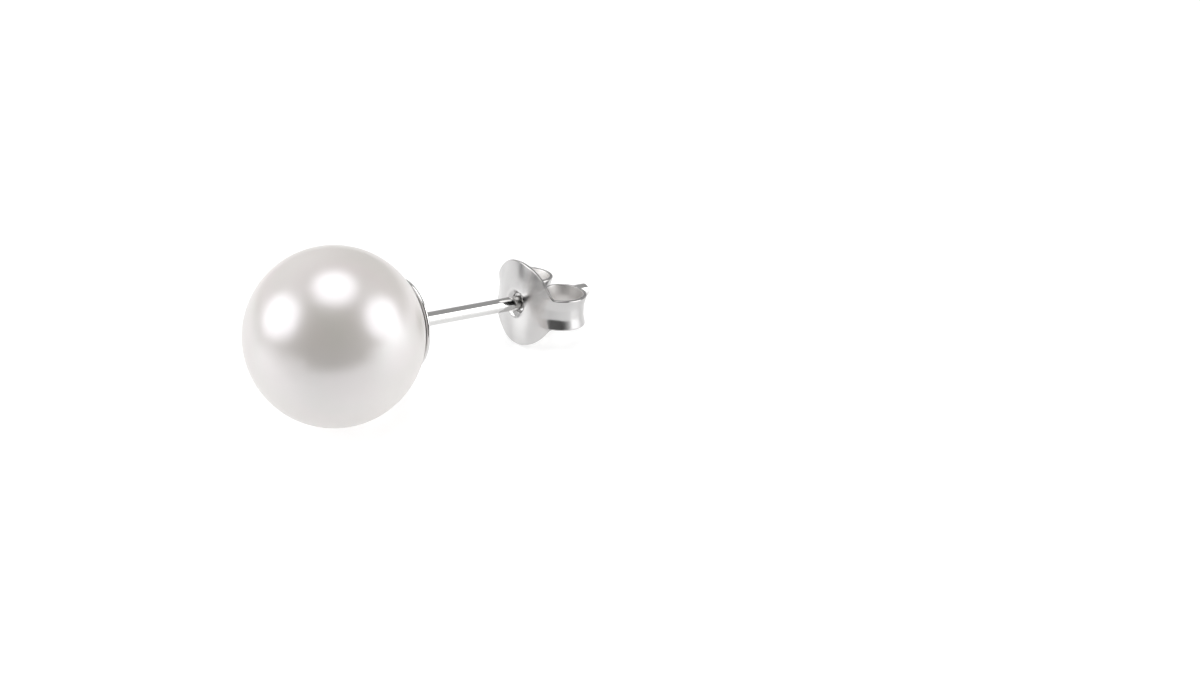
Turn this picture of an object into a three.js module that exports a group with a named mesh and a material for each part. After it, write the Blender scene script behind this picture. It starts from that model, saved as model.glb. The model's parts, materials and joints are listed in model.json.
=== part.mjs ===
// A pearl stud earring with its butterfly back, lying on a level surface as it comes to rest there.
// Millimetres, +Z up. The post points toward +X and dips, because the clutch is smaller than the pearl.
// The origin is on the surface, under the middle of the whole earring.
import * as THREE from "three";
import { mergeVertices } from "three/addons/utils/BufferGeometryUtils.js";

// Pearl
const PEARL_DIAMETER = 10;

// Cup, peg and post, soldered into one piece
const CUP_RIM_DIAMETER = 5.1;
const CUP_WALL = 0.22;
const CUP_GLUE_GAP = 0.04;
const PEG_DIAMETER = 0.7;
const PEG_LENGTH = 3.2;
const PEG_GLUE_GAP = 0.05;
const PEG_CHAMFER = 0.12;
const DRILL_POINT = 0.2;
const SOLDER_FILLET = 0.16;
const POST_DIAMETER = 0.8;
const POST_LENGTH = 12.05;
const TIP_ROUNDING = 0.16;
const NOTCH_TO_TIP = 1.0;
const NOTCH_WIDTH = 0.4;
const NOTCH_DEPTH = 0.07;

// Clutch: one strip of sheet metal whose middle is the plate and whose two ends are rolled into scrolls
const SHEET = 0.2;
const PLATE_TO_CUP = 7;
const PLATE_HEIGHT = 4.88;
const PLATE_WIDTH = 5.42;
const PLATE_BEND_RADIUS = 4.5;
const PLATE_DISH = 0.24;
const STRIP_WIDTH = 1.76;
const STRIP_SHOULDER = 0.2;
const SCROLL_RADIUS = 1.4;
const SCROLL_INNER_RADIUS = 1.03;
const SCROLL_END_TURN = THREE.MathUtils.degToRad(305);
const ROLL_STARTS = 0.6;
const ROLL_DONE = 1.4;
const FLARE = 0.13;
const FLARE_STARTS = 0.3;
const DIMPLE_RADIUS = 0.82;
const DIMPLE_SLOPE = 1.15;
const DIMPLE_EDGE = 0.03;
const HOLE_CLEARANCE = 0.12;
const GRIP_CLEARANCE = 0.03;

// Facets
const TURN_SEGMENTS = 36;
const SPHERE_STEP = THREE.MathUtils.degToRad(6);
const FILLET_STEP = THREE.MathUtils.degToRad(30);
const RIM_STEP = THREE.MathUtils.degToRad(45);
const SCROLL_STEPS = 30;
const PLATE_STEPS = 12;
const HALF_ROWS = 8;
const HOLE_RINGS = 7;
const HALVINGS = 30;
const TINY = 1e-3;

const pearlRadius = PEARL_DIAMETER / 2;
const postRadius = POST_DIAMETER / 2;
const pegRadius = PEG_DIAMETER / 2;
const cupInnerRadius = pearlRadius + CUP_GLUE_GAP;
const cupOuterRadius = cupInnerRadius + CUP_WALL;
const cupRimAngle = Math.asin(CUP_RIM_DIAMETER / 2 / (cupInnerRadius + CUP_WALL / 2));
const tipAt = cupOuterRadius + POST_LENGTH;
const plateAt = cupOuterRadius + PLATE_TO_CUP;
const holeRadius = postRadius + HOLE_CLEARANCE;
const ringsReach = DIMPLE_RADIUS + SHEET;

// Points of an arc in a profile plane, both ends included. Angles are counted from the profile's axis.
function arcPoints(centreRadius, centreAlong, radius, from, to, step) {
  const count = Math.max(1, Math.ceil(Math.abs(to - from) / step));
  return Array.from({ length: count + 1 }, (unused, i) => {
    const angle = from + ((to - from) * i) / count;
    return new THREE.Vector2(
      Math.max(0, centreRadius + radius * Math.sin(angle)),
      centreAlong + radius * Math.cos(angle),
    );
  });
}

// A solid of revolution about the post's axis, which is +X. Profile points are (radius, place on the axis).
// The turn starts half a facet round, so that a facet and not an edge is at the bottom.
function turned(profile) {
  const geometry = new THREE.LatheGeometry(profile, TURN_SEGMENTS, Math.PI / TURN_SEGMENTS);
  geometry.rotateZ(-Math.PI / 2);
  geometry.deleteAttribute("normal");
  geometry.deleteAttribute("uv");
  return mergeVertices(geometry, TINY ** 2);
}

// The pearl, with the blind hole that the peg is glued into, and the drill's point at its end.
function pearlGeometry() {
  const drillRadius = pegRadius + PEG_GLUE_GAP;
  const holeAngle = Math.asin(drillRadius / pearlRadius);
  const holeEnd = pearlRadius - PEG_LENGTH - PEG_GLUE_GAP;
  return turned([
    ...arcPoints(0, 0, pearlRadius, Math.PI, holeAngle, SPHERE_STEP),
    new THREE.Vector2(drillRadius, holeEnd),
    new THREE.Vector2(0, holeEnd - DRILL_POINT),
  ]);
}

// Peg, cup, post, notch and tip in one profile, from the peg's end out along the cup and back to the post.
function postAndCupGeometry() {
  const pegEnd = pearlRadius - PEG_LENGTH;
  const rimMiddle = cupInnerRadius + CUP_WALL / 2;
  const filletReach = cupOuterRadius + SOLDER_FILLET;
  const filletRadial = postRadius + SOLDER_FILLET;
  const filletAlong = Math.sqrt(filletReach ** 2 - filletRadial ** 2);
  const filletAngle = Math.asin(filletRadial / filletReach);
  const rim = arcPoints(
    rimMiddle * Math.sin(cupRimAngle),
    rimMiddle * Math.cos(cupRimAngle),
    CUP_WALL / 2,
    cupRimAngle + Math.PI,
    cupRimAngle,
    RIM_STEP,
  );
  const pegAngle = Math.asin(pegRadius / cupInnerRadius);
  const cupInside = arcPoints(0, 0, cupInnerRadius, pegAngle, cupRimAngle, SPHERE_STEP);
  const cupOutside = arcPoints(0, 0, cupOuterRadius, cupRimAngle, filletAngle, SPHERE_STEP);
  const filletEnds = [filletAngle + Math.PI, 1.5 * Math.PI];
  const fillet = arcPoints(filletRadial, filletAlong, SOLDER_FILLET, ...filletEnds, FILLET_STEP);
  const tipEnds = [Math.PI / 2, 0];
  const tipCorner = [postRadius - TIP_ROUNDING, tipAt - TIP_ROUNDING];
  const tip = arcPoints(...tipCorner, TIP_ROUNDING, ...tipEnds, FILLET_STEP);
  const notchMiddle = tipAt - NOTCH_TO_TIP;
  return turned([
    new THREE.Vector2(0, pegEnd),
    new THREE.Vector2(pegRadius - PEG_CHAMFER, pegEnd),
    new THREE.Vector2(pegRadius, pegEnd + PEG_CHAMFER),
    ...cupInside.slice(0, -1),
    ...rim,
    ...cupOutside.slice(1),
    ...fillet.slice(1),
    new THREE.Vector2(postRadius, notchMiddle - NOTCH_WIDTH / 2),
    new THREE.Vector2(postRadius - NOTCH_DEPTH, notchMiddle - NOTCH_WIDTH / 4),
    new THREE.Vector2(postRadius - NOTCH_DEPTH, notchMiddle + NOTCH_WIDTH / 4),
    new THREE.Vector2(postRadius, notchMiddle + NOTCH_WIDTH / 2),
    ...tip,
    new THREE.Vector2(0, tipAt),
  ]);
}

// The strip's middle line, seen along its width: a plate bent back a little, tangent to a scroll that turns
// in until it grips the post, and on inside itself to its end. The arcs' radii and the post set it all.
const scrollAside = postRadius + GRIP_CLEARANCE + SHEET / 2 + SCROLL_INNER_RADIUS;
const plateTurn = Math.asin(scrollAside / (PLATE_BEND_RADIUS - SCROLL_RADIUS));
const scrollBehind = PLATE_BEND_RADIUS - (PLATE_BEND_RADIUS - SCROLL_RADIUS) * Math.cos(plateTurn);
const plateRun = PLATE_BEND_RADIUS * plateTurn;
const outerRun = SCROLL_RADIUS * (Math.PI - plateTurn);
const innerRun = SCROLL_INNER_RADIUS * (SCROLL_END_TURN - Math.PI);

// Where the middle line is at a distance from the plate's middle, and which way its front faces there.
function middleLine(run) {
  const side = Math.sign(run) || 1;
  const distance = Math.abs(run);
  let turn = distance / PLATE_BEND_RADIUS;
  let behind = PLATE_BEND_RADIUS;
  let aside = 0;
  let radius = PLATE_BEND_RADIUS;
  if (distance > plateRun + outerRun) {
    turn = Math.PI + (distance - plateRun - outerRun) / SCROLL_INNER_RADIUS;
    behind = scrollBehind + SCROLL_RADIUS - SCROLL_INNER_RADIUS;
    aside = scrollAside;
    radius = SCROLL_INNER_RADIUS;
  } else if (distance > plateRun) {
    turn = plateTurn + (distance - plateRun) / SCROLL_RADIUS;
    behind = scrollBehind;
    aside = scrollAside;
    radius = SCROLL_RADIUS;
  }
  return {
    x: behind - radius * Math.cos(turn),
    y: side * (aside + radius * Math.sin(turn)),
    facing: new THREE.Vector2(-Math.cos(turn), side * Math.sin(turn)),
  };
}

// Half of the sheet's width at a distance from the plate's middle: an oval that runs into the strip.
function halfWidth(run) {
  const across = Math.min(1, Math.abs(run) / (PLATE_WIDTH / 2));
  const oval = (PLATE_HEIGHT / 2) * Math.sqrt(1 - across ** 2);
  const strip = STRIP_WIDTH / 2;
  const difference = (oval - strip) / STRIP_SHOULDER;
  return strip + STRIP_SHOULDER * Math.log1p(Math.exp(difference));
}

// How deep the sheet is pressed in at a distance from the hole's middle: a cone with a rounded edge.
function dimpleDepth(fromMiddle) {
  return DIMPLE_SLOPE * DIMPLE_EDGE * Math.log1p(Math.exp((DIMPLE_RADIUS - fromMiddle) / DIMPLE_EDGE));
}

// How far the scrolls' edges are opened outward, at a height above or below the strip's middle.
function flareAt(height) {
  const beyond = Math.abs(height) - FLARE_STARTS;
  return FLARE * THREE.MathUtils.clamp(beyond / (STRIP_WIDTH / 2 - FLARE_STARTS), 0, 1);
}

// The middle of the sheet, in the plate's frame: +X is back along the post and +Z is the plate's height.
// A flat point is (distance along the strip, height) on the strip before it is bent.
function sheetPoint(flat) {
  const line = middleLine(flat.x);
  const rolled = THREE.MathUtils.smoothstep(Math.abs(flat.x), plateRun * ROLL_STARTS, plateRun * ROLL_DONE);
  const dish = (1 - rolled) * PLATE_DISH * (flat.y / (PLATE_HEIGHT / 2)) ** 2;
  const forward = rolled * flareAt(flat.y) - dish - dimpleDepth(flat.length());
  return new THREE.Vector3(line.x + line.facing.x * forward, line.y + line.facing.y * forward, flat.y);
}

// The sheet's face on one side (1 is the front, -1 the back), half a thickness from its middle.
function facePoint(flat, side) {
  const alongRun = new THREE.Vector2(TINY, 0);
  const alongHeight = new THREE.Vector2(0, TINY);
  const across = (step) => sheetPoint(flat.clone().add(step)).sub(sheetPoint(flat.clone().sub(step)));
  const normal = across(alongHeight).cross(across(alongRun)).normalize();
  return sheetPoint(flat).addScaledVector(normal, (side * SHEET) / 2);
}

// The flat point in one direction from the hole's middle whose point on a face is on the hole's round wall.
function holePoint(angle, side) {
  const way = new THREE.Vector2(Math.cos(angle), Math.sin(angle));
  let near = holeRadius - SHEET / 2;
  let far = holeRadius + SHEET / 2;
  for (let i = 0; i < HALVINGS; i += 1) {
    const middle = (near + far) / 2;
    const point = facePoint(way.clone().multiplyScalar(middle), side);
    if (Math.hypot(point.y, point.z) > holeRadius) {
      far = middle;
    } else {
      near = middle;
    }
  }
  return way.multiplyScalar(near);
}

// Distances along the strip where the sheet's grid has its columns.
function columns() {
  const half = [];
  for (let i = 1; i <= PLATE_STEPS; i += 1) {
    half.push((plateRun * i) / PLATE_STEPS);
  }
  for (let i = 1; i <= SCROLL_STEPS; i += 1) {
    half.push(plateRun + ((outerRun + innerRun) * i) / SCROLL_STEPS);
  }
  return [...half.map((run) => -run).reverse(), 0, ...half];
}

// Shares of the half width where the grid has its rows.
function rows() {
  return Array.from({ length: 2 * HALF_ROWS + 1 }, (unused, i) => i / HALF_ROWS - 1);
}

// The grid places [column, row] once round a rectangle of the grid.
function walkRound(firstColumn, firstRow, lastColumn, lastRow) {
  const places = [];
  for (let column = firstColumn; column < lastColumn; column += 1) places.push([column, firstRow]);
  for (let row = firstRow; row < lastRow; row += 1) places.push([lastColumn, row]);
  for (let column = lastColumn; column > firstColumn; column -= 1) places.push([column, lastRow]);
  for (let row = lastRow; row > firstRow; row -= 1) places.push([firstColumn, row]);
  return places;
}

// The whole sheet as one closed surface: its front and its back, each a grid with rings of facets round the
// hole, and the narrow walls that join them all round the outline and in the hole.
function clutchGeometry() {
  const runs = columns();
  const levels = rows();
  const lastColumn = runs.length - 1;
  const lastRow = levels.length - 1;
  const columnsIn = runs.filter((run) => run < -ringsReach).length - 1;
  const rowsIn = levels.filter((level) => level * halfWidth(0) < -ringsReach).length - 1;
  const between = (i, start, end) => i >= start && i < end;
  const inRings = (column, row) =>
    between(column, columnsIn, lastColumn - columnsIn) && between(row, rowsIn, lastRow - rowsIn);

  const positions = [];
  const faces = [];
  const add = (flat, side) => {
    positions.push(...facePoint(flat, side).toArray());
    return positions.length / 3 - 1;
  };
  const quad = (a, b, c, d) => faces.push(a, b, c, a, c, d);
  const joinLoops = (one, other) => {
    one.forEach((unused, i) => {
      const next = (i + 1) % one.length;
      quad(one[i], one[next], other[next], other[i]);
    });
  };

  const loops = [1, -1].map((side) => {
    const flat = runs.map((run) => levels.map((level) => new THREE.Vector2(run, halfWidth(run) * level)));
    const used = (column, row) => !(inRings(column, row) && inRings(column - 1, row - 1));
    const place = (point, column, row) => (used(column, row) ? add(point, side) : -1);
    const at = flat.map((line, column) => line.map((point, row) => place(point, column, row)));
    for (let column = 0; column < lastColumn; column += 1) {
      const [here, beyond] = [at[column], at[column + 1]];
      for (let row = 0; row < lastRow; row += 1) {
        if (!inRings(column, row)) {
          const corners = [here[row], here[row + 1], beyond[row + 1], beyond[row]];
          quad(...(side > 0 ? corners : corners.reverse()));
        }
      }
    }
    const square = walkRound(columnsIn, rowsIn, lastColumn - columnsIn, lastRow - rowsIn);
    const outer = square.map(([column, row]) => flat[column][row]);
    const inner = outer.map((point) => holePoint(point.angle(), side));
    let ring = square.map(([column, row]) => at[column][row]);
    for (let i = 1; i <= HOLE_RINGS; i += 1) {
      const next = outer.map((point, k) => add(point.clone().lerp(inner[k], i / HOLE_RINGS), side));
      if (side > 0) {
        joinLoops(next, ring);
      } else {
        joinLoops(ring, next);
      }
      ring = next;
    }
    const outline = walkRound(0, 0, lastColumn, lastRow).map(([column, row]) => at[column][row]);
    return { outline, hole: ring };
  });
  const [front, back] = loops;
  joinLoops(front.outline, back.outline);
  joinLoops(back.hole, front.hole);
  return new THREE.BufferGeometry()
    .setAttribute("position", new THREE.Float32BufferAttribute(positions, 3))
    .setIndex(faces)
    .translate(plateAt, 0, 0);
}

// How far the post dips when the pearl and the clutch rest on one level: the first of the clutch's points to
// come down to the pearl's lowest. The plate's lower edge, its narrowest side, is the one that touches.
function restingDip(geometry) {
  return Math.min(
    ...pointsOf(geometry).map(({ x, z }) => Math.asin(pearlRadius / Math.hypot(x, z)) + Math.atan2(z, x)),
  );
}

function pointsOf(geometry) {
  const position = geometry.getAttribute("position");
  return Array.from({ length: position.count }, (unused, i) =>
    new THREE.Vector3().fromBufferAttribute(position, i),
  );
}

const nacre = new THREE.MeshStandardMaterial({ color: 0xe9e6e1, roughness: 0.22, metalness: 0 });
const postMetal = new THREE.MeshStandardMaterial({ color: 0xd3d2cf, roughness: 0.12, metalness: 1 });
const sheetMetal = new THREE.MeshStandardMaterial({ color: 0xdbd9d6, roughness: 0.15, metalness: 1 });

function part(name, geometry, material) {
  const mesh = new THREE.Mesh(geometry, material);
  mesh.name = name;
  return mesh;
}

const clutch = clutchGeometry();

// All pieces are made along the post's axis; this group dips them to the earring's pose at rest.
const lying = new THREE.Group();
lying.rotation.y = restingDip(clutch);
lying.add(
  part("pearl", pearlGeometry(), nacre),
  part("post_and_cup", postAndCupGeometry(), postMetal),
  part("butterfly_back", clutch, sheetMetal),
);

const bounds = new THREE.Box3().setFromObject(lying, true);
const middle = bounds.getCenter(new THREE.Vector3());
lying.position.set(-middle.x, -middle.y, -bounds.min.z);

const earring = new THREE.Group();
earring.name = "pearl_stud_earring";
earring.add(lying);

export default earring;
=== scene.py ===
import json
import math

import bpy
import numpy as np
from mathutils import Matrix, Vector


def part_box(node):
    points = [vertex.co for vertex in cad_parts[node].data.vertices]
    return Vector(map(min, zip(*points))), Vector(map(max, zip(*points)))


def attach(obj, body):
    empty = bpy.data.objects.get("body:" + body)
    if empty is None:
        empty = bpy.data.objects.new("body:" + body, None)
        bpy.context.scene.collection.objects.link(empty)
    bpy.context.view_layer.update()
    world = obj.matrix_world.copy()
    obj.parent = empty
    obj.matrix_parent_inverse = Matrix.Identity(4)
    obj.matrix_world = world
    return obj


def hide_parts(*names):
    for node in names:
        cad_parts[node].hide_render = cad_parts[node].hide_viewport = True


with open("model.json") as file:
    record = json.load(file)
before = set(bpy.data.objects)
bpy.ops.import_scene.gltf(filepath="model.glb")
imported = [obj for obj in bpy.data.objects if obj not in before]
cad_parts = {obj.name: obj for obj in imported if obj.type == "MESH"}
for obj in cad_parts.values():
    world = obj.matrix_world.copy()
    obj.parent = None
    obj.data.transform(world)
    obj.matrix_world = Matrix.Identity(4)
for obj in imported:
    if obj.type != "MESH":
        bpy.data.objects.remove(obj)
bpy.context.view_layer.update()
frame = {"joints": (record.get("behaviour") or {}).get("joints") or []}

MM = 0.001

# Pearl, cup, peg and post, all turned about the post's axis
PEARL_RADIUS = 5 * MM
CUP_RIM_DIAMETER = 5.1 * MM
CUP_WALL = 0.22 * MM
CUP_GLUE_GAP = 0.04 * MM
PEG_RADIUS = 0.35 * MM
PEG_LENGTH = 3.2 * MM
PEG_GLUE_GAP = 0.05 * MM
PEG_CHAMFER = 0.12 * MM
DRILL_POINT = 0.2 * MM
SOLDER_FILLET = 0.16 * MM
POST_RADIUS = 0.4 * MM
POST_LENGTH = 12.05 * MM
TIP_ROUNDING = 0.16 * MM
NOTCH_TO_TIP = 1.0 * MM
NOTCH_WIDTH = 0.4 * MM
NOTCH_DEPTH = 0.07 * MM
NOTCH_SHAPE = 1.4
NOTCH_RINGS = 21
NOTCH_REACH = 0.999
TURN_SEGMENTS = 192
HOLE_WALL_RINGS = 6
POST_RINGS = 60
ARC_STEP = math.radians(1.5)
SMALL_ARC_STEP = math.radians(8)
RIM_ARC_STEP = math.radians(12)

# Clutch: one strip of sheet metal, a plate in the middle and a scroll at each end
SHEET = 0.2 * MM
EDGE_ROUNDING = 0.045 * MM
PLATE_TO_CUP = 7 * MM
PLATE_HEIGHT = 4.88 * MM
PLATE_WIDTH = 5.42 * MM
PLATE_BEND_RADIUS = 4.5 * MM
PLATE_DISH = 0.24 * MM
STRIP_WIDTH = 1.76 * MM
STRIP_SHOULDER = 0.2 * MM
STRIP_CORNER = 0.25 * MM
SCROLL_RADIUS = 1.4 * MM
SCROLL_INNER_RADIUS = 1.03 * MM
SCROLL_END_TURN = math.radians(305)
FLARE = 0.13 * MM
FLARE_STARTS = 0.3 * MM
FLARE_CREASE = 0.04 * MM
ROLL_STARTS = 0.6
ROLL_DONE = 1.4
DIMPLE_RADIUS = 0.82 * MM
DIMPLE_SLOPE = 1.15
DIMPLE_EDGE = 0.03 * MM
HOLE_CLEARANCE = 0.12 * MM
GRIP_CLEARANCE = 0.03 * MM
PATCH_HALF = 1.2 * MM
PATCH_RINGS = 26
SHEET_CELL = 0.075 * MM
NORMAL_STEP = 0.002 * MM
PLATE_COLUMNS = 40
COLUMN_SPREAD = 1.12
CORNER_COLUMNS = 8
HALF_ROWS = 32
ROW_BUNCHING = 0.25
RING_BUNCHING = 1.15
EDGE_RINGS = 5
HALVINGS = 36
# Darker grey on the sheet's narrow edges: painted shade along the edges
CUT_EDGE_PAINTED_SHADE = (0.5, 0.492, 0.488)
# Lighter grey on the inside face: painted light for the light bouncing inside the scrolls; its satin
# roughness is real
INSIDE_PAINTED_LIGHT = (0.80, 0.785, 0.775)
INSIDE_SATIN = 0.25

# Camera: the way it looks, its turn about that way and the pearl's place in the picture
VIEW_AZIMUTH = math.radians(-34.985)
VIEW_ELEVATION = math.radians(27.769)
VIEW_ROLL = math.radians(-5.818)
VIEW_DEPTH = 160.15 * MM
PEARL_ASIDE = -14.486 * MM
PEARL_ABOVE = 0.048 * MM
LENS = 88.2

# Light: each softbox's azimuth and elevation, its half angles across and toward the camera, and its strength
CAMERA_WAY = (-29.2, 27.1)
SOFTBOXES = (
    ("softbox_left", -119.6, 32.2, 25, 31, 2.8),
    ("softbox_top", 69.2, 82.0, 25, 27, 2.8),
    ("softbox_right", 47.0, 20.1, 24, 28, 2.8),
)
BOX_DISTANCE = 0.55
BOX_SOFTNESS = 0.3
SQUARENESS = 2.6
FLAG_DISTANCE = 25 * MM
FLAG_WIDTH = 35 * MM
FLAG_HEIGHT = 14 * MM
FLAG_DIM = 0.1
FLOOR_GLOW = 0.66
STUDIO_PALE = 0.55
WALL_WAY = (-165, 8)
WALL_REACH = 65
WALL_PALE = 0.4
STUDIO_DIM = 0.0
DIM_STARTS = 4
DIM_ENDS = 82
SKIRT_DIM = 0.8
SKIRT_STARTS = 6
SKIRT_ENDS = 22

cup_inner = PEARL_RADIUS + CUP_GLUE_GAP
cup_outer = cup_inner + CUP_WALL
cup_middle = (cup_inner + cup_outer) / 2
rim_angle = math.asin(CUP_RIM_DIAMETER / 2 / cup_middle)
tip_at = cup_outer + POST_LENGTH
plate_at = cup_outer + PLATE_TO_CUP
hole_radius = POST_RADIUS + HOLE_CLEARANCE

# The earring's place in the frame: the pearl's middle, and the post's way, which the clutch slides along
low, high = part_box("pearl")
pearl_middle = Vector(((low[0] + high[0]) / 2, (low[1] + high[1]) / 2, PEARL_RADIUS))
post_axis = Vector(frame["joints"][0]["axis"]).normalized()
if post_axis.x < 0:
    post_axis.negate()
side_axis = Vector((0, 1, 0))
LYING = Matrix((post_axis, side_axis, post_axis.cross(side_axis))).transposed().to_4x4()
LYING.translation = pearl_middle


# Meshes


def arc(centre_along, centre_radius, radius, start, end, step=ARC_STEP):
    """Profile points (along, radius) of an arc, both ends included. Angles are counted from the axis."""
    count = max(2, math.ceil(abs(end - start) / step))
    angles = np.linspace(start, end, count + 1)
    return np.column_stack((centre_along + radius * np.cos(angles), centre_radius + radius * np.sin(angles)))


def straight(a, b, count):
    """Profile points between two points, the ends left out."""
    share = np.linspace(0, 1, count + 2)[1:-1, None]
    return np.asarray(a) * (1 - share) + np.asarray(b) * share


def new_piece(name, points, faces, body, node, material, marks=()):
    """A smooth-shaded mesh made in the post's frame, laid in place and tied to its CAD body, with the CAD
    node that it replaces hidden.

    Each point keeps its place in the post's frame, so that the materials' patterns run along the post.
    marks are (name, mask) pairs: parts of the surface that the material treats in their own way.
    """
    mesh = bpy.data.meshes.new(name)
    own = np.asarray(points, dtype=float)
    lying = np.array(LYING)
    laid = own @ lying[:3, :3].T + lying[:3, 3]
    mesh.from_pydata([tuple(p) for p in laid], [], faces)
    mesh.validate()
    mesh.attributes.new("place", "FLOAT_VECTOR", "POINT").data.foreach_set("vector", own.ravel())
    mesh.polygons.foreach_set("use_smooth", [True] * len(mesh.polygons))
    mesh.materials.append(material)
    for mark, mask in marks:
        mesh.attributes.new(mark, "FLOAT", "POINT").data.foreach_set("value", mask.astype(float))
    mesh.update()
    piece = bpy.data.objects.new(name, mesh)
    bpy.context.scene.collection.objects.link(piece)
    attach(piece, body)
    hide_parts(node)
    return piece


def turned(profile):
    """Points and faces of a solid of revolution about X. The profile starts and ends on the axis."""
    angles = np.arange(TURN_SEGMENTS) * 2 * math.pi / TURN_SEGMENTS
    rings = profile[1:-1]
    points = [(profile[0][0], 0.0, 0.0)]
    for along, radius in rings:
        place = np.full(TURN_SEGMENTS, along)
        ring = np.column_stack((place, radius * np.cos(angles), radius * np.sin(angles)))
        points.extend(map(tuple, ring))
    points.append((profile[-1][0], 0.0, 0.0))
    last = len(points) - 1
    faces = []
    for i in range(TURN_SEGMENTS):
        j = (i + 1) % TURN_SEGMENTS
        faces.append((0, 1 + j, 1 + i))
        for ring in range(len(rings) - 1):
            a = 1 + ring * TURN_SEGMENTS
            b = a + TURN_SEGMENTS
            faces.append((a + i, a + j, b + j, b + i))
        a = 1 + (len(rings) - 1) * TURN_SEGMENTS
        faces.append((a + i, a + j, last))
    return np.array(points), faces


def faces_outward(points, faces):
    """The same faces, turned over if the closed surface's volume comes out negative."""
    volume = 0.0
    for face in faces:
        a = points[face[0]]
        for k in range(1, len(face) - 1):
            volume += float(np.dot(a, np.cross(points[face[k]], points[face[k + 1]])))
    return faces if volume > 0 else [tuple(reversed(face)) for face in faces]


def pearl_mesh():
    drill_radius = PEG_RADIUS + PEG_GLUE_GAP
    hole_angle = math.asin(drill_radius / PEARL_RADIUS)
    hole_end = PEARL_RADIUS - PEG_LENGTH - PEG_GLUE_GAP
    mouth = (PEARL_RADIUS * math.cos(hole_angle), drill_radius)
    profile = np.vstack((
        arc(0, 0, PEARL_RADIUS, math.pi, hole_angle),
        straight(mouth, (hole_end, drill_radius), HOLE_WALL_RINGS),
        [(hole_end, drill_radius), (hole_end - DRILL_POINT, 0)],
    ))
    profile[0, 1] = 0
    return turned(profile)


def post_mesh():
    peg_end = PEARL_RADIUS - PEG_LENGTH
    reach = cup_outer + SOLDER_FILLET
    fillet_radius = POST_RADIUS + SOLDER_FILLET
    fillet_along = math.sqrt(reach**2 - fillet_radius**2)
    fillet_angle = math.asin(fillet_radius / reach)
    fillet_ends = (fillet_angle + math.pi, 1.5 * math.pi)
    rim_along = cup_middle * math.cos(rim_angle)
    rim_radius = cup_middle * math.sin(rim_angle)
    notch = tip_at - NOTCH_TO_TIP
    groove = [
        (notch + NOTCH_WIDTH / 2 * t, POST_RADIUS - NOTCH_DEPTH * math.cos(math.pi / 2 * t) ** NOTCH_SHAPE)
        for t in np.linspace(-NOTCH_REACH, NOTCH_REACH, NOTCH_RINGS)
    ]
    profile = np.vstack((
        [(peg_end, 0), (peg_end, PEG_RADIUS - PEG_CHAMFER), (peg_end + PEG_CHAMFER, PEG_RADIUS)],
        straight((peg_end + PEG_CHAMFER, PEG_RADIUS), (cup_inner, PEG_RADIUS), HOLE_WALL_RINGS),
        arc(0, 0, cup_inner, math.asin(PEG_RADIUS / cup_inner), rim_angle)[:-1],
        arc(rim_along, rim_radius, CUP_WALL / 2, rim_angle + math.pi, rim_angle, RIM_ARC_STEP),
        arc(0, 0, cup_outer, rim_angle, fillet_angle)[1:],
        arc(fillet_along, fillet_radius, SOLDER_FILLET, *fillet_ends, SMALL_ARC_STEP)[1:],
        straight((fillet_along, POST_RADIUS), (notch - NOTCH_WIDTH / 2, POST_RADIUS), POST_RINGS),
        groove,
        arc(tip_at - TIP_ROUNDING, POST_RADIUS - TIP_ROUNDING, TIP_ROUNDING, math.pi / 2, 0, SMALL_ARC_STEP),
        [(tip_at, 0)],
    ))
    return turned(profile)


scroll_aside = POST_RADIUS + GRIP_CLEARANCE + SHEET / 2 + SCROLL_INNER_RADIUS
plate_turn = math.asin(scroll_aside / (PLATE_BEND_RADIUS - SCROLL_RADIUS))
scroll_behind = PLATE_BEND_RADIUS - (PLATE_BEND_RADIUS - SCROLL_RADIUS) * math.cos(plate_turn)
plate_run = PLATE_BEND_RADIUS * plate_turn
outer_run = SCROLL_RADIUS * (math.pi - plate_turn)
inner_run = SCROLL_INNER_RADIUS * (SCROLL_END_TURN - math.pi)
end_run = plate_run + outer_run + inner_run


def smoothstep(value, start, end):
    t = np.clip((value - start) / (end - start), 0, 1)
    return t * t * (3 - 2 * t)


def ramp(value, rounding):
    """0 below 0 and the value itself above it, with a rounded bend between."""
    return rounding * np.logaddexp(0, value / rounding)


def middle_line(run):
    """The strip's middle line seen along its width, at distances from its middle: place and front's way."""
    side = np.where(run < 0, -1.0, 1.0)
    distance = np.abs(run)
    on_plate = distance <= plate_run
    on_outer = ~on_plate & (distance <= plate_run + outer_run)
    turn = np.where(on_plate, distance / PLATE_BEND_RADIUS, 0)
    turn = np.where(on_outer, plate_turn + (distance - plate_run) / SCROLL_RADIUS, turn)
    inner = ~on_plate & ~on_outer
    turn = np.where(inner, math.pi + (distance - plate_run - outer_run) / SCROLL_INNER_RADIUS, turn)
    where = [on_plate, on_outer]
    inner_behind = scroll_behind + SCROLL_RADIUS - SCROLL_INNER_RADIUS
    behind = np.select(where, [PLATE_BEND_RADIUS, scroll_behind], inner_behind)
    aside = np.where(on_plate, 0, scroll_aside)
    radius = np.select(where, [PLATE_BEND_RADIUS, SCROLL_RADIUS], SCROLL_INNER_RADIUS)
    place = np.column_stack((behind - radius * np.cos(turn), side * (aside + radius * np.sin(turn))))
    return place, np.column_stack((-np.cos(turn), side * np.sin(turn)))


def half_width(run):
    """Half of the sheet's width: an oval that runs into the strip, whose ends have rounded corners."""
    across = np.minimum(1, np.abs(run) / (PLATE_WIDTH / 2))
    oval = PLATE_HEIGHT / 2 * np.sqrt(1 - across**2)
    strip = STRIP_WIDTH / 2
    width = strip + STRIP_SHOULDER * np.log1p(np.exp((oval - strip) / STRIP_SHOULDER))
    near_end = np.clip(np.abs(run) - (end_run - STRIP_CORNER), 0, STRIP_CORNER)
    return width - STRIP_CORNER + np.sqrt(STRIP_CORNER**2 - near_end**2)


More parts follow.
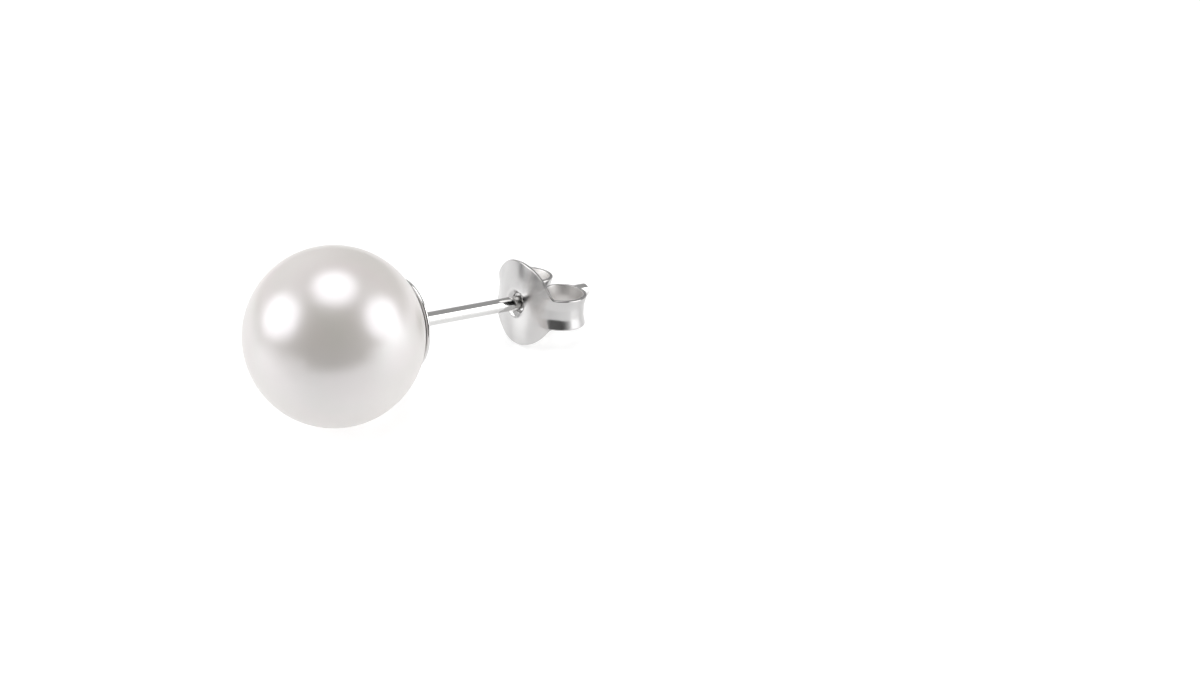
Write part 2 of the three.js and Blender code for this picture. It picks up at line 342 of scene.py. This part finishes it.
def sheet_middle(flat):
    """Where points of the flat strip (run, height) are on the bent sheet's middle surface."""
    run, height = flat[:, 0], flat[:, 1]
    place, facing = middle_line(run)
    rolled = smoothstep(np.abs(run), ROLL_STARTS * plate_run, ROLL_DONE * plate_run)
    dish = (1 - rolled) * PLATE_DISH * (height / (PLATE_HEIGHT / 2)) ** 2
    flare_slope = FLARE / (STRIP_WIDTH / 2 - FLARE_STARTS)
    flare = rolled * np.minimum(FLARE, flare_slope * ramp(np.abs(height) - FLARE_STARTS, FLARE_CREASE))
    dimple = DIMPLE_SLOPE * ramp(DIMPLE_RADIUS - np.hypot(run, height), DIMPLE_EDGE)
    forward = flare - dish - dimple
    return np.column_stack((place + facing * forward[:, None], height))


def sheet_face(flat, offset):
    """Points of the sheet off its middle surface by an offset along its normal, in front if positive."""
    step_run = np.array([NORMAL_STEP, 0])
    step_height = np.array([0, NORMAL_STEP])
    along_run = sheet_middle(flat + step_run) - sheet_middle(flat - step_run)
    along_height = sheet_middle(flat + step_height) - sheet_middle(flat - step_height)
    normal = np.cross(along_height, along_run)
    normal /= np.linalg.norm(normal, axis=1)[:, None]
    return sheet_middle(flat) + normal * np.broadcast_to(offset, (len(flat),))[:, None]


def sheet_columns():
    half = [plate_run * (i / PLATE_COLUMNS) ** COLUMN_SPREAD for i in range(1, PLATE_COLUMNS + 1)]
    rolled = end_run - STRIP_CORNER - plate_run
    count = math.ceil(rolled / SHEET_CELL)
    half += [plate_run + rolled * i / count for i in range(1, count + 1)]
    turns = [math.pi / 2 * i / CORNER_COLUMNS for i in range(1, CORNER_COLUMNS + 1)]
    half += [end_run - STRIP_CORNER + STRIP_CORNER * math.sin(turn) for turn in turns]
    half = sorted({min(run, end_run - EDGE_ROUNDING) for run in half})
    return np.array([-run for run in reversed(half)] + [0] + half)


def hole_flat(angles, offset):
    """Flat places, one for each angle, whose points at the offset are at the hole's radius."""
    corner = abs(offset) - (SHEET / 2 - EDGE_ROUNDING)
    wanted = hole_radius
    if corner > 0:
        wanted += EDGE_ROUNDING - math.sqrt(max(0, EDGE_ROUNDING**2 - corner**2))
    ways = np.column_stack((np.cos(angles), np.sin(angles)))
    low_end = np.full(len(angles), hole_radius - SHEET)
    high_end = np.full(len(angles), hole_radius + SHEET)
    for _ in range(HALVINGS):
        middle = (low_end + high_end) / 2
        point = sheet_face(ways * middle[:, None], offset)
        too_far = np.hypot(point[:, 1], point[:, 2]) > wanted
        high_end = np.where(too_far, middle, high_end)
        low_end = np.where(too_far, low_end, middle)
    return ways * ((low_end + high_end) / 2)[:, None]


def clutch_mesh():
    """The sheet as one closed surface: two faces with rings round the hole, and narrow rounded edges."""
    runs = sheet_columns()
    steps = np.arange(-HALF_ROWS, HALF_ROWS + 1) / HALF_ROWS
    levels = np.sign(steps) * ((1 + ROW_BUNCHING) * np.abs(steps) - ROW_BUNCHING * np.abs(steps) ** 3)
    widths = half_width(runs) - EDGE_ROUNDING
    grid = np.stack((np.repeat(runs[:, None], len(levels), 1), widths[:, None] * levels[None, :]), axis=2)
    first_column = int(np.searchsorted(runs, -PATCH_HALF))
    last_column = len(runs) - 1 - first_column
    first_row = int(np.searchsorted(levels * widths[len(runs) // 2], -PATCH_HALF))
    last_row = len(levels) - 1 - first_row

    patch = [(c, first_row) for c in range(first_column, last_column)]
    patch += [(last_column, r) for r in range(first_row, last_row)]
    patch += [(c, last_row) for c in range(last_column, first_column, -1)]
    patch += [(first_column, r) for r in range(last_row, first_row, -1)]
    around = np.array([grid[c, r] for c, r in patch])
    angles = np.arctan2(around[:, 1], around[:, 0])

    outline = [(c, 0) for c in range(len(runs) - 1)]
    outline += [(len(runs) - 1, r) for r in range(len(levels) - 1)]
    outline += [(c, len(levels) - 1) for c in range(len(runs) - 1, 0, -1)]
    outline += [(0, r) for r in range(len(levels) - 1, 0, -1)]
    edge = np.array([grid[c, r] for c, r in outline])
    along = np.roll(edge, -1, 0) - np.roll(edge, 1, 0)
    out_of_edge = np.column_stack((along[:, 1], -along[:, 0]))
    out_of_edge /= np.linalg.norm(out_of_edge, axis=1)[:, None]

    points = []
    faces = []

    def add(block):
        start = sum(len(b) for b in points)
        points.append(block)
        return start

    outline_ids = {}
    hole_ids = {}
    for side in (1, -1):
        offset = side * SHEET / 2
        side_start = sum(len(block) for block in points)
        ids = -np.ones((len(runs), len(levels)), int)
        kept = np.ones((len(runs), len(levels)), bool)
        kept[first_column + 1 : last_column, first_row + 1 : last_row] = False
        flat = grid[kept]
        start = add(sheet_face(flat, offset))
        ids[kept] = start + np.arange(len(flat))
        for c in range(len(runs) - 1):
            for r in range(len(levels) - 1):
                if first_column <= c < last_column and first_row <= r < last_row:
                    continue
                quad = (ids[c, r], ids[c, r + 1], ids[c + 1, r + 1], ids[c + 1, r])
                faces.append(quad if side > 0 else quad[::-1])
        ring_before = np.array([ids[c, r] for c, r in patch])
        rim = hole_flat(angles, offset)
        for k in range(1, PATCH_RINGS + 1):
            share = 1 - (1 - k / PATCH_RINGS) ** RING_BUNCHING
            ring = around * (1 - share) + rim * share
            start = add(sheet_face(ring, offset))
            ring_now = start + np.arange(len(ring))
            for i in range(len(ring)):
                j = (i + 1) % len(ring)
                quad = (ring_before[i], ring_before[j], ring_now[j], ring_now[i])
                faces.append(quad[::-1] if side > 0 else quad)
            ring_before = ring_now
        outline_ids[side] = np.array([ids[c, r] for c, r in outline])
        hole_ids[side] = ring_before

    faces_end = sum(len(block) for block in points)

    # The narrow edge, on the outline and in the hole: a rounded corner, a flat and a rounded corner
    corner = SHEET / 2 - EDGE_ROUNDING
    turns = np.linspace(0, math.pi / 2, EDGE_RINGS + 1)[1:]
    levels_out = [(corner + EDGE_ROUNDING * math.cos(t), EDGE_ROUNDING * math.sin(t)) for t in turns]
    levels_out += [(0.0, EDGE_ROUNDING)]
    levels_out += [(-off, out) for off, out in reversed(levels_out[:-1])]
    before = outline_ids[1]
    for offset, out in levels_out:
        start = add(sheet_face(edge + out_of_edge * out, offset))
        now = start + np.arange(len(edge))
        for i in range(len(edge)):
            j = (i + 1) % len(edge)
            faces.append((before[i], before[j], now[j], now[i]))
        before = now
    for i in range(len(edge)):
        j = (i + 1) % len(edge)
        faces.append((before[i], before[j], outline_ids[-1][j], outline_ids[-1][i]))
    before = hole_ids[1]
    for offset, _ in levels_out:
        start = add(sheet_face(hole_flat(angles, offset), offset))
        now = start + np.arange(len(angles))
        for i in range(len(angles)):
            j = (i + 1) % len(angles)
            faces.append((before[j], before[i], now[i], now[j]))
        before = now
    for i in range(len(angles)):
        j = (i + 1) % len(angles)
        faces.append((before[j], before[i], hole_ids[-1][i], hole_ids[-1][j]))

    whole = np.vstack(points) + np.array([plate_at, 0, 0])
    order = np.arange(len(whole))
    # Marks for the material: the edge faces get painted shade, the inside face gets painted light
    marks = (("painted_edge_shade", order >= faces_end), ("inside", (order >= side_start) & (order < faces_end)))
    return whole, [tuple(int(v) for v in face) for face in faces], marks


# Materials


def new_material(name):
    material = bpy.data.materials.new(name)
    material.use_nodes = True
    nodes, links = material.node_tree.nodes, material.node_tree.links
    nodes.clear()
    out = nodes.new("ShaderNodeOutputMaterial")
    shader = nodes.new("ShaderNodeBsdfPrincipled")
    links.new(shader.outputs["BSDF"], out.inputs["Surface"])
    return material, nodes, links, shader


def place_of(nodes):
    """Where a point is in the post's frame, as kept with each mesh."""
    place = nodes.new("ShaderNodeAttribute")
    place.attribute_name = "place"
    return place.outputs["Vector"]


def noise_of(nodes, links, place, scale, detail=3.0, roughness=0.5, distortion=0.0, stretch=None):
    """A noise texture in the piece's own coordinates. scale is in features per millimetre."""
    if stretch is not None:
        mapping = nodes.new("ShaderNodeMapping")
        mapping.inputs["Scale"].default_value = stretch
        links.new(place, mapping.inputs["Vector"])
        place = mapping.outputs["Vector"]
    noise = nodes.new("ShaderNodeTexNoise")
    noise.inputs["Scale"].default_value = scale / MM
    noise.inputs["Detail"].default_value = detail
    noise.inputs["Roughness"].default_value = roughness
    noise.inputs["Distortion"].default_value = distortion
    links.new(place, noise.inputs["Vector"])
    return noise.outputs["Fac"]


def ramp_of(nodes, links, value, stops):
    ramp = nodes.new("ShaderNodeValToRGB")
    ramp.color_ramp.interpolation = "EASE"
    elements = ramp.color_ramp.elements
    while len(elements) < len(stops):
        elements.new(0.5)
    for element, (position, colour) in zip(elements, stops):
        element.position = position
        element.color = (*colour, 1)
    links.new(value, ramp.inputs["Fac"])
    return ramp.outputs["Color"]


def range_of(nodes, links, value, low_out, high_out, low_in=0.3, high_in=0.7):
    mapped = nodes.new("ShaderNodeMapRange")
    mapped.inputs["From Min"].default_value = low_in
    mapped.inputs["From Max"].default_value = high_in
    mapped.inputs["To Min"].default_value = low_out
    mapped.inputs["To Max"].default_value = high_out
    links.new(value, mapped.inputs["Value"])
    return mapped.outputs["Result"]


def mix_of(nodes, links, share, a, b, blend="MIX"):
    """Mixes two colours. share, a and b are sockets or values."""
    mix = nodes.new("ShaderNodeMix")
    mix.data_type = "RGBA"
    mix.blend_type = blend
    for socket, value in ((mix.inputs[0], share), (mix.inputs[6], a), (mix.inputs[7], b)):
        if isinstance(value, bpy.types.NodeSocket):
            links.new(value, socket)
        elif isinstance(value, tuple):
            socket.default_value = (*value, 1)
        else:
            socket.default_value = value
    return mix.outputs[2]


def math_of(nodes, links, operation, a, b=None):
    """A math node's result. a is a socket; b is a number or a socket."""
    node = nodes.new("ShaderNodeMath")
    node.operation = operation
    links.new(a, node.inputs[0])
    if isinstance(b, bpy.types.NodeSocket):
        links.new(b, node.inputs[1])
    elif b is not None:
        node.inputs[1].default_value = b
    return node.outputs[0]


def bump_of(nodes, links, layers):
    """Bumps stacked on one another. Each layer is a height socket and its depth in millimetres."""
    normal = None
    for height, depth in layers:
        bump = nodes.new("ShaderNodeBump")
        bump.inputs["Strength"].default_value = 1
        bump.inputs["Distance"].default_value = depth * MM
        links.new(height, bump.inputs["Height"])
        if normal is not None:
            links.new(normal, bump.inputs["Normal"])
        normal = bump.outputs["Normal"]
    return normal


def nacre():
    """Pearl: a soft white body under a smooth, shining skin with a faint rose and green overtone."""
    material, nodes, links, shader = new_material("nacre")
    place = place_of(nodes)
    wide = noise_of(nodes, links, place, 0.16, detail=1.5, distortion=0.6)
    overtone = ramp_of(nodes, links, wide, [
        (0.30, (0.712, 0.652, 0.622)),
        (0.46, (0.702, 0.660, 0.617)),
        (0.60, (0.690, 0.665, 0.614)),
        (0.74, (0.706, 0.656, 0.622)),
    ])
    growth = noise_of(nodes, links, place, 1.1, detail=2, roughness=0.5)
    layered = mix_of(nodes, links, range_of(nodes, links, growth, 0, 0.35), overtone, (0.717, 0.675, 0.636))
    links.new(layered, shader.inputs["Base Color"])
    platelets = noise_of(nodes, links, place, 9, detail=5, roughness=0.65)
    links.new(range_of(nodes, links, platelets, 0.285, 0.335), shader.inputs["Roughness"])
    shader.inputs["Metallic"].default_value = 0.04
    shader.inputs["IOR"].default_value = 2.2
    shader.inputs["Specular IOR Level"].default_value = 1.0
    shader.inputs["Specular Tint"].default_value = (0.93, 0.93, 1.0, 1)
    normal = bump_of(nodes, links, [(growth, 0.003), (platelets, 0.00006)])
    links.new(normal, shader.inputs["Normal"])
    return material


def drawn_metal():
    """Post, peg and cup: polished white metal with the fine lines of drawing and polishing."""
    material, nodes, links, shader = new_material("post_metal")
    place = place_of(nodes)
    lines = noise_of(nodes, links, place, 14, detail=2, stretch=(0.02, 1, 1))
    stains = noise_of(nodes, links, place, 0.9, detail=4, roughness=0.6)
    colour = ramp_of(nodes, links, stains, [(0.3, (0.64, 0.634, 0.628)), (0.7, (0.68, 0.676, 0.67))])
    links.new(colour, shader.inputs["Base Color"])
    worn = mix_of(nodes, links, 0.5, lines, stains)
    links.new(range_of(nodes, links, worn, 0.06, 0.11), shader.inputs["Roughness"])
    shader.inputs["Metallic"].default_value = 1
    normal = bump_of(nodes, links, [(stains, 0.0015), (lines, 0.0006)])
    links.new(normal, shader.inputs["Normal"])
    return material


def pressed_metal():
    """Clutch: pressed white sheet metal, polished, with soft dents and fine scratches along the strip, a
    satin inside face painted lighter (painted light) and edges painted darker (painted shade).
    """
    material, nodes, links, shader = new_material("clutch_metal")
    place = place_of(nodes)
    dents = noise_of(nodes, links, place, 0.8, detail=2, roughness=0.5)
    scratches = noise_of(nodes, links, place, 6, detail=3, roughness=0.6, stretch=(1, 1, 0.12))
    grain = noise_of(nodes, links, place, 22, detail=3)
    colour = ramp_of(nodes, links, dents, [(0.3, (0.54, 0.532, 0.53)), (0.7, (0.58, 0.574, 0.572))])
    # The narrow edges are coloured darker: painted shade
    painted_edge_shade = nodes.new("ShaderNodeAttribute")
    painted_edge_shade.attribute_name = "painted_edge_shade"
    inside = nodes.new("ShaderNodeAttribute")
    inside.attribute_name = "inside"
    # The inside face is coloured lighter: painted light for the light bouncing inside the scrolls
    colour = mix_of(nodes, links, inside.outputs["Fac"], colour, INSIDE_PAINTED_LIGHT)
    links.new(mix_of(nodes, links, painted_edge_shade.outputs["Fac"], colour, CUT_EDGE_PAINTED_SHADE), shader.inputs["Base Color"])
    worn = mix_of(nodes, links, 0.4, dents, scratches)
    gloss = range_of(nodes, links, worn, 0.16, 0.24)
    satin = math_of(nodes, links, "MULTIPLY", inside.outputs["Fac"], INSIDE_SATIN)
    links.new(math_of(nodes, links, "ADD", gloss, satin), shader.inputs["Roughness"])
    shader.inputs["Metallic"].default_value = 1
    normal = bump_of(nodes, links, [(dents, 0.0025), (scratches, 0.0006), (grain, 0.0002)])
    links.new(normal, shader.inputs["Normal"])
    return material


# The object


def build_object():
    points, faces = pearl_mesh()
    faces = faces_outward(points, faces)
    new_piece("pearl_surface", points, faces, "stud", "pearl", nacre())
    points, faces = post_mesh()
    faces = faces_outward(points, faces)
    new_piece("post_and_cup_surface", points, faces, "stud", "post_and_cup", drawn_metal())
    points, faces, marks = clutch_mesh()
    faces = faces_outward(points, faces)
    metal = pressed_metal()
    new_piece("butterfly_surface", points, faces, "clutch", "butterfly_back", metal, marks)


# Camera, floor and light


def direction(azimuth, elevation):
    a, e = math.radians(azimuth), math.radians(elevation)
    return Vector((math.sin(a) * math.cos(e), -math.cos(a) * math.cos(e), math.sin(e)))


def add_camera():
    camera = bpy.data.objects.new("camera", bpy.data.cameras.new("camera"))
    bpy.context.scene.collection.objects.link(camera)
    bpy.context.scene.camera = camera
    camera.data.lens = LENS
    camera.data.sensor_width = 36
    camera.data.clip_start = 0.005
    camera.data.clip_end = 5
    back = direction(math.degrees(VIEW_AZIMUTH), math.degrees(VIEW_ELEVATION))
    right = Vector((0, 0, 1)).cross(back).normalized()
    up = back.cross(right)
    turned_right = right * math.cos(VIEW_ROLL) + up * math.sin(VIEW_ROLL)
    turned_up = up * math.cos(VIEW_ROLL) - right * math.sin(VIEW_ROLL)
    pose = Matrix((turned_right, turned_up, back)).transposed().to_4x4()
    aside = turned_right * PEARL_ASIDE + turned_up * PEARL_ABOVE
    pose.translation = pearl_middle - aside + back * VIEW_DEPTH
    camera.matrix_world = pose
    return camera


def stage_plane(name, centre, facing, upward, width, height, material):
    """A flat rectangle that isn't part of the object. Its height runs as near as it can toward upward."""
    mesh = bpy.data.meshes.new(name)
    x, y = width / 2, height / 2
    mesh.from_pydata([(-x, -y, 0), (x, -y, 0), (x, y, 0), (-x, y, 0)], [], [(0, 1, 2, 3)])
    mesh.materials.append(material)
    plane = bpy.data.objects.new(name, mesh)
    bpy.context.scene.collection.objects.link(plane)
    tall = (upward - facing * upward.dot(facing)).normalized()
    pose = Matrix((tall.cross(facing), tall, facing)).transposed().to_4x4()
    pose.translation = centre
    plane.matrix_world = pose
    return plane


def glow(name, strength, half_width, half_height, soft):
    """A softbox's face, a rounded shape: even in the middle and fading over a soft border."""
    material = bpy.data.materials.new(name)
    material.use_nodes = True
    nodes, links = material.node_tree.nodes, material.node_tree.links
    nodes.clear()
    out = nodes.new("ShaderNodeOutputMaterial")
    emission = nodes.new("ShaderNodeEmission")
    place = nodes.new("ShaderNodeTexCoord").outputs["Object"]
    parts = nodes.new("ShaderNodeSeparateXYZ")
    links.new(place, parts.inputs[0])
    total = None
    for socket, half in ((parts.outputs[0], half_width), (parts.outputs[1], half_height)):
        share = math_of(nodes, links, "DIVIDE", math_of(nodes, links, "ABSOLUTE", socket), half)
        raised = math_of(nodes, links, "POWER", share, SQUARENESS)
        total = raised if total is None else math_of(nodes, links, "ADD", total, raised)
    fade = nodes.new("ShaderNodeMapRange")
    fade.interpolation_type = "SMOOTHSTEP"
    fade.inputs["From Min"].default_value = 1
    fade.inputs["From Max"].default_value = (1 - soft) ** SQUARENESS
    fade.inputs["To Min"].default_value = 0
    fade.inputs["To Max"].default_value = 1
    links.new(total, fade.inputs["Value"])
    power = math_of(nodes, links, "MULTIPLY", fade.outputs["Result"], strength)
    links.new(power, emission.inputs["Strength"])
    links.new(emission.outputs[0], out.inputs["Surface"])
    return material


def add_floor():
    """A pale glossy sheet that glows a little, so that shadows on it are faint."""
    material, nodes, links, shader = new_material("floor")
    place = nodes.new("ShaderNodeTexCoord").outputs["Object"]
    paper = noise_of(nodes, links, place, 0.02, detail=2)
    grey = ramp_of(nodes, links, paper, [(0.3, (0.45, 0.45, 0.45)), (0.7, (0.47, 0.47, 0.47))])
    links.new(grey, shader.inputs["Base Color"])
    shader.inputs["Roughness"].default_value = 0.22
    shader.inputs["Emission Color"].default_value = (1, 1, 1, 1)
    shader.inputs["Emission Strength"].default_value = FLOOR_GLOW
    stage_plane("floor", Vector((0, 0, 0)), Vector((0, 0, 1)), Vector((0, 1, 0)), 4, 4, material)


def add_lights():
    """Three softboxes round the pearl, a dark flag in front of it and a studio dim round the camera."""
    toward = direction(*CAMERA_WAY)
    for name, azimuth, elevation, half_aside, half_toward, strength in SOFTBOXES:
        way = direction(azimuth, elevation)
        width = 2 * BOX_DISTANCE * math.tan(math.radians(half_aside))
        height = 2 * BOX_DISTANCE * math.tan(math.radians(half_toward))
        material = glow(name, strength, width / 2, height / 2, BOX_SOFTNESS)
        box = stage_plane(name, pearl_middle + way * BOX_DISTANCE, -way, toward, width, height, material)
        box.visible_camera = False
    level = Vector((toward.x, toward.y, 0)).normalized()
    foot = Vector((pearl_middle.x, pearl_middle.y, FLAG_HEIGHT / 2)) + level * FLAG_DISTANCE
    dark = glow("flag", FLAG_DIM, FLAG_WIDTH, FLAG_HEIGHT, 0.1)
    flag = stage_plane("flag", foot, -level, Vector((0, 0, 1)), FLAG_WIDTH, FLAG_HEIGHT, dark)
    flag.visible_camera = False
    flag.visible_diffuse = False
    flag.visible_shadow = False
    world = bpy.data.worlds.new("studio")
    bpy.context.scene.world = world
    world.use_nodes = True
    nodes, links = world.node_tree.nodes, world.node_tree.links
    nodes.clear()
    out = nodes.new("ShaderNodeOutputWorld")
    background = nodes.new("ShaderNodeBackground")
    links.new(background.outputs[0], out.inputs[0])
    path = nodes.new("ShaderNodeLightPath")
    place = nodes.new("ShaderNodeTexCoord").outputs["Generated"]

    def cone(way, starts, ends, inside, outside):
        """inside within an angle of a direction and outside beyond another one."""
        dot = nodes.new("ShaderNodeVectorMath")
        dot.operation = "DOT_PRODUCT"
        dot.inputs[1].default_value = way
        links.new(place, dot.inputs[0])
        value = nodes.new("ShaderNodeMapRange")
        value.interpolation_type = "SMOOTHSTEP"
        value.inputs["From Min"].default_value = math.cos(math.radians(ends))
        value.inputs["From Max"].default_value = math.cos(math.radians(starts))
        value.inputs["To Min"].default_value = outside
        value.inputs["To Max"].default_value = inside
        links.new(dot.outputs["Value"], value.inputs["Value"])
        return value.outputs["Result"]

    shade = cone(toward, DIM_STARTS, DIM_ENDS, STUDIO_DIM, STUDIO_PALE)
    wall = cone(direction(*WALL_WAY), WALL_REACH / 2, WALL_REACH, WALL_PALE, 0)
    height = nodes.new("ShaderNodeSeparateXYZ")
    links.new(place, height.inputs[0])
    skirt = nodes.new("ShaderNodeMapRange")
    skirt.interpolation_type = "SMOOTHSTEP"
    skirt.inputs["From Min"].default_value = math.sin(math.radians(SKIRT_STARTS))
    skirt.inputs["From Max"].default_value = math.sin(math.radians(SKIRT_ENDS))
    skirt.inputs["To Min"].default_value = SKIRT_DIM
    skirt.inputs["To Max"].default_value = 1
    links.new(height.outputs[2], skirt.inputs["Value"])
    pale = math_of(nodes, links, "ADD", shade, wall)
    lit = math_of(nodes, links, "MULTIPLY", pale, skirt.outputs["Result"])
    seen = nodes.new("ShaderNodeMix")
    seen.data_type = "FLOAT"
    links.new(path.outputs["Is Camera Ray"], seen.inputs[0])
    links.new(lit, seen.inputs[2])
    seen.inputs[3].default_value = 1.0
    links.new(seen.outputs[0], background.inputs["Strength"])


build_object()
add_camera()
add_floor()
add_lights()
bpy.context.scene.view_settings.view_transform = "Standard"
bpy.context.scene.view_settings.look = "None"
